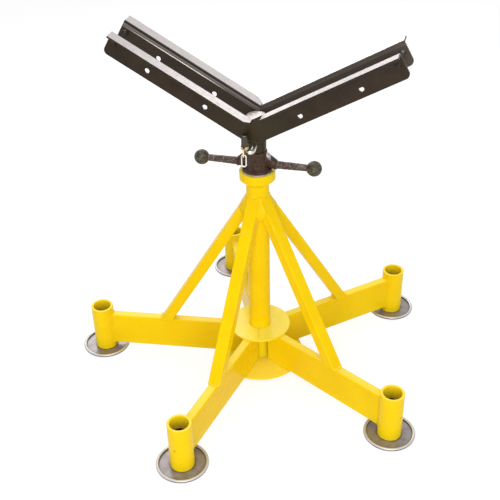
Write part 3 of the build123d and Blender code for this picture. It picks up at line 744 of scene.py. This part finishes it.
def forged_arm(side, name):
    """A tapered rod whose skin is lumpy between the boss and the ball, smooth where it is driven in."""
    low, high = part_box(f"handle_arm_{name}")
    start, end = (low[0], high[0]) if side > 0 else (-high[0], -low[0])
    root = (high[2] - low[2]) / 2
    free = reach_x("hand_nut") + arm_bare
    seat = end - arm_seat
    recipe = Recipe(f"forged_arm_{name}")
    root_radius = recipe.size("Root radius", root)
    tip_radius = recipe.size("Tip radius", arm_tip)
    lump = recipe.size("Lump height", arm_lump)
    x, y, z = recipe.spot()
    far = recipe.calc("ADD", z, (start + end) / 2)
    taper = recipe.times(recipe.calc("SUBTRACT", tip_radius, root_radius), recipe.step(far, start, end))
    fade = recipe.times(recipe.step(far, free, free + arm_fade), recipe.step(far, seat, seat - arm_fade))
    spot = recipe.joined(recipe.times(x, root), recipe.times(y, root), recipe.calc("ADD", z, side))
    skin = recipe.calc("SUBTRACT", recipe.noise(arm_lumps_a_metre, spot), 0.5)
    radius = recipe.calc("ADD", recipe.calc("ADD", root_radius, taper), recipe.times(skin, lump, fade))
    height = recipe.calc("SUBTRACT", middle(f"handle_arm_{name}").z, recipe.times(x, radius))
    rod = recipe.rod(arm_sides, arm_rings, end - start)
    rod = recipe.reshape(rod, recipe.times(far, side), recipe.times(y, radius, side), height)
    arm = recipe.make(recipe.smooth(rod, radians(60)), bpy.data.meshes.new(f"arm_{name}_carrier"), forged)
    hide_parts(f"handle_arm_{name}")
    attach(arm, "nut")


forged_arm(1, "right")
forged_arm(-1, "left")

# Head post, cap, saddle block and rails
# Cut and bent plate round a tube post, sprayed dark brown-black. Pipes have polished the lips to bare steel,
# whose brightness is a painted reflection that differs lip by lip, and the webs' inner faces carry painted
# light and painted bands of shade, sheen and highlight below the lips. The post's cap is bare turned steel.
rail_slope = radians(29.8)
painted_shade_band = (1.0 * mm, 5.0 * mm)     # bands on the webs' inner faces, from and to below the lips' face
painted_sheen_band = (5.5 * mm, 11.0 * mm)
painted_highlight_line = (12.6 * mm, 15.4 * mm)
band_blur = 0.5 * mm
highlight_line_outer = (-370 * mm, -250 * mm)   # along X, where the painted highlight line begins and is full
highlight_line_inner = (-85 * mm, -150 * mm)    # where it has almost ended, and where it is still full


def rise(x, z):
    """How far a point lies above the rails' slope, drawn through the frame's origin."""
    return z * cos(rail_slope) - abs(x) * sin(rail_slope)


lip_face = max(rise(corner.co.x, corner.co.z) for corner in nodes["rail_rear_left"].data.vertices)


def banded_webs(finish, colour, x, z, inward, on_left):
    """Painted light in lines along the webs' inner faces, mostly on the left: a near-black painted shade
    band, a paler painted sheen band, and a bright painted highlight line.
    """
    slope = finish.times(finish.calc("ABSOLUTE", x), sin(rail_slope))
    above = finish.calc("SUBTRACT", finish.times(z, cos(rail_slope)), slope)
    below = finish.calc("SUBTRACT", lip_face, above)
    highlight_line_fade = finish.times(finish.step(x, *highlight_line_outer), finish.step(x, *highlight_line_inner, 0.15, 1.0))
    # Painted shade, painted sheen and painted highlight bands, from the lips downwards.
    bands = (
        (painted_shade_band, finish.times(on_left, 0.95), (0.006, 0.005, 0.004)),
        (painted_sheen_band, finish.step(on_left, 0.0, 1.0, 0.20, 0.75), (0.24, 0.21, 0.20)),
        (painted_highlight_line, finish.times(on_left, highlight_line_fade), (0.95, 0.87, 0.80)),
    )
    for (start, end), share, tone in bands:
        begun = finish.step(below, start, start + band_blur)
        unended = finish.step(below, end + band_blur, end)
        colour = finish.tint(finish.times(begun, unended, share, inward), colour, tone)
    return colour


def lip_steel_and_painted_reflection(finish, x, on_left, on_front):
    """Bare steel with a painted reflection: brighter towards the middle on the left, and duller on the front
    right lip.
    """
    # Painted reflection: each lip's steel is set brighter or duller, and graded along X, for the light it
    # reflects.
    rear_left = finish.tint(finish.step(x, -330 * mm, -60 * mm), (0.56, 0.52, 0.515), (0.68, 0.63, 0.62))
    front_left = finish.tint(finish.step(x, -390 * mm, -110 * mm), (0.42, 0.38, 0.375), (0.95, 0.90, 0.89))
    front_right = finish.tint(finish.step(x, 60 * mm, 330 * mm), (0.25, 0.228, 0.222), (0.37, 0.345, 0.34))
    right = finish.tint(on_front, (0.90, 0.88, 0.87), front_right)
    steel = finish.tint(on_left, right, finish.tint(on_front, rear_left, front_left))
    cloud = finish.step(finish.grain(12 * mm, 4), 0.3, 0.7, 0.0, 0.45)
    return finish.tint(cloud, steel, (0.46, 0.42, 0.415))


def dark_enamel():
    """Dark paint: olive near the V, scuffed on its edges, worn off every face that looks up, with painted
    light on the webs' inner faces and painted bands below the lips.
    """
    brown, reddish, olive = (0.021, 0.0130, 0.0060), (0.038, 0.0215, 0.0110), (0.033, 0.025, 0.0075)
    scuff, dust_and_painted_light = (0.20, 0.15, 0.12), (0.080, 0.064, 0.052)
    finish = Finish("dark_enamel", Specular_IOR_Level=0.20)
    edge = finish.soft_edges(0.9 * mm)
    x, y, z = finish.spot()
    facing = finish.facing()
    on_left = finish.step(x, 1.0 * mm, -1.0 * mm)
    on_front = finish.step(y, 1.0 * mm, -1.0 * mm)
    inward = finish.step(finish.times(facing["Y"], finish.calc("SIGN", y)), -0.2, -0.5)
    colour = finish.tint(finish.step(finish.grain(50 * mm, 4), 0.35, 0.68), brown, reddish)
    near_middle = finish.step(finish.calc("ABSOLUTE", x), 150 * mm, 20 * mm, 0.0, 0.6)
    colour = finish.tint(near_middle, colour, olive)
    scuffed = finish.times(edge, finish.step(finish.grain(12 * mm, 4), 0.45, 0.6), 0.5)
    colour = finish.tint(scuffed, colour, scuff)
    # Painted light: the webs' inner faces are lightened, most on the right.
    inner_face_light = finish.times(inward, finish.step(x, -20 * mm, 20 * mm, 0.3, 0.9))
    colour = banded_webs(finish, finish.tint(inner_face_light, colour, dust_and_painted_light), x, z, inward, on_left)
    rubbed = finish.step(finish.grain(4 * mm, 6), 0.22, 0.36)
    worn = finish.times(finish.step(facing["Z"], 0.80, 0.86), rubbed)
    finish.lay("Base Color", finish.tint(worn, colour, lip_steel_and_painted_reflection(finish, x, on_left, on_front)))
    finish.lay("Metallic", finish.times(worn, 0.8))
    finish.sheen(10 * mm, 4, 0.26, 0.46)
    finish.lift(finish.grain(3 * mm), 0.1 * mm)
    return finish


dark_paint = dark_enamel()
for node in ("head_post", "saddle_block", "rail_screws", "rail_end_bolts", "rail_end_nuts"):
    wear(node, dark_paint)
for rail in ("front_left", "front_right", "rear_left", "rear_right"):
    wear(f"rail_{rail}", dark_paint)
wear("post_cap", turned_metal("cap_steel", (0.64, 0.565, 0.55), (0.44, 0.375, 0.365)))

# Locking pin, grip, eye and link
# A bent steel rod, bright with zinc plating and given painted shade on its part left of the post, with a
# dipped vinyl grip.
# A brass eye sits on it, and a loose zinc-plated link hangs from the eye.
pin_plating = ((0.86, 0.84, 0.80), (0.62, 0.59, 0.54), (0.74, 0.68, 0.55))
pin_shade_start, pin_shade_full = -1.5 * mm, -5.0 * mm   # along X


def pin_with_painted_shade():
    """The link's plating, with painted shade in patches on the pin's left part."""
    finish = zinc_plate("pin_zinc_painted_shade", *pin_plating)
    # Painted shade: the rod darkens to brown towards negative X.
    pin_shaded_side = finish.step(finish.spot()["X"], pin_shade_start, pin_shade_full)
    patchy = finish.step(finish.grain(4 * mm, 4), 0.30, 0.62, 1.0, 0.75)
    finish.over(finish.times(pin_shaded_side, patchy), (0.055, 0.045, 0.028))
    return finish


def dipped_vinyl():
    """Soft near-black plastic, mottled and a little rough."""
    dark, worn = (0.022, 0.017, 0.009), (0.055, 0.042, 0.022)
    finish = Finish("dipped_vinyl")
    finish.lay("Base Color", finish.tint(finish.grain(6 * mm, 4), dark, worn))
    finish.sheen(4 * mm, 3, 0.42, 0.60)
    finish.lift(finish.grain(1.5 * mm), 0.1 * mm)
    return finish


wear("lock_pin", pin_with_painted_shade())
wear("pin_link", zinc_plate("bright_zinc", *pin_plating))
wear("pin_eye", zinc_plate("worn_brass", (0.90, 0.76, 0.50), (0.62, 0.44, 0.18), (0.70, 0.42, 0.26)))
wear("pin_grip", dipped_vinyl())

# Floor, light and camera
# A plain white floor and backdrop, a large soft lamp in front, a weaker one overhead and two small
# ones behind to the left. The camera stands where the photograph was taken.


class Shade(Graph):
    """The node tree of a floor or a world."""

    def __init__(self, tree):
        self.tree = tree

    def seen_as(self, plain, seen):
        """Shader that is plain to bounced light, and another one to the camera and to reflections."""
        path = self.add("ShaderNodeLightPath").outputs
        direct = self.calc("MAXIMUM", path["Is Camera Ray"], path["Is Glossy Ray"])
        either = self.calc("MAXIMUM", direct, path["Is Transmission Ray"])
        return self.add("ShaderNodeMixShader", {0: either, 1: plain, 2: seen}).outputs[0]


floor_half = 30.0
floor_level = -0.5 * mm
floor_mesh = bpy.data.meshes.new("floor")
corners = [(x * floor_half, y * floor_half, floor_level) for x, y in ((-1, -1), (1, -1), (1, 1), (-1, 1))]
floor_mesh.from_pydata(corners, [], [(0, 1, 2, 3)])
floor = bpy.data.objects.new("floor", floor_mesh)
bpy.context.scene.collection.objects.link(floor)
floor_white = bpy.data.materials.new("floor_white")
floor_white.use_nodes = True
floor_shade = Shade(floor_white.node_tree)
floor_paint = floor_white.node_tree.nodes["Principled BSDF"]
floor_paint.inputs["Base Color"].default_value = (0.8, 0.8, 0.8, 1)
floor_paint.inputs["Roughness"].default_value = 0.9
floor_paint.inputs["Specular IOR Level"].default_value = 0.0
shadowed = floor_shade.add("ShaderNodeBsdfDiffuse", {"Color": (0.30, 0.30, 0.30, 1)}).outputs[0]
glow = floor_shade.add("ShaderNodeEmission", {"Strength": 0.78}).outputs[0]
bright = floor_shade.add("ShaderNodeAddShader", {0: shadowed, 1: glow}).outputs[0]
floor_end = floor_white.node_tree.nodes["Material Output"].inputs["Surface"]
floor_white.node_tree.links.new(floor_shade.seen_as(floor_paint.outputs[0], bright), floor_end)
floor_mesh.materials.append(floor_white)

world = bpy.data.worlds.new("studio")
world.use_nodes = True
bpy.context.scene.world = world
world_shade = Shade(world.node_tree)
sky = world.node_tree.nodes["Background"]
sky.inputs["Color"].default_value = (1, 1, 1, 1)
sky.inputs["Strength"].default_value = 0.6
backdrop = world_shade.add("ShaderNodeBackground", {"Color": (1, 1, 1, 1), "Strength": 1.0}).outputs[0]
world_end = world.node_tree.nodes["World Output"].inputs["Surface"]
world.node_tree.links.new(world_shade.seen_as(sky.outputs[0], backdrop), world_end)

object_middle = Vector((0, 0, 0.45))
lamps = (                        # name, place, width and height, power in watts
    ("overhead", (0.0, -0.2, 3.0), (2.0, 2.0), 24),
    ("behind", (-1.15, 2.0, 1.95), (1.1, 0.9), 15),
    ("low_behind", (-1.5, 2.0, 1.05), (1.0, 0.8), 7),
    ("front", (0.9, -3.0, 1.45), (2.0, 2.0), 52),
)
for name, place, size, power in lamps:
    light = bpy.data.lights.new(name, "AREA")
    light.shape = "RECTANGLE"
    light.size, light.size_y = size
    light.energy = power
    lamp = bpy.data.objects.new(name, light)
    lamp.location = place
    lamp.rotation_euler = (object_middle - Vector(place)).to_track_quat("-Z", "Y").to_euler()
    bpy.context.scene.collection.objects.link(lamp)

frame_pixels = 500
focal_pixels = 872.0
camera_place = Vector((0.5108, -1.9129, 1.6996))
camera_azimuth = radians(105.64)
camera_tilt = radians(-33.81)
camera_roll = radians(-1.375)
ahead = Vector((
    cos(camera_azimuth) * cos(camera_tilt),
    sin(camera_azimuth) * cos(camera_tilt),
    sin(camera_tilt),
))
level = Vector((sin(camera_azimuth), -cos(camera_azimuth), 0))
over = level.cross(ahead)
across = level * cos(camera_roll) + over * sin(camera_roll)
upward = over * cos(camera_roll) - level * sin(camera_roll)
camera_data = bpy.data.cameras.new("photo_camera")
camera_data.sensor_fit = "HORIZONTAL"
camera_data.lens = camera_data.sensor_width * focal_pixels / frame_pixels
camera = bpy.data.objects.new("photo_camera", camera_data)
camera_turn = Matrix((across, upward, -ahead)).transposed().to_4x4()
camera.matrix_world = Matrix.Translation(camera_place) @ camera_turn
bpy.context.scene.collection.objects.link(camera)
bpy.context.scene.camera = camera
bpy.context.scene.view_settings.view_transform = "Standard"
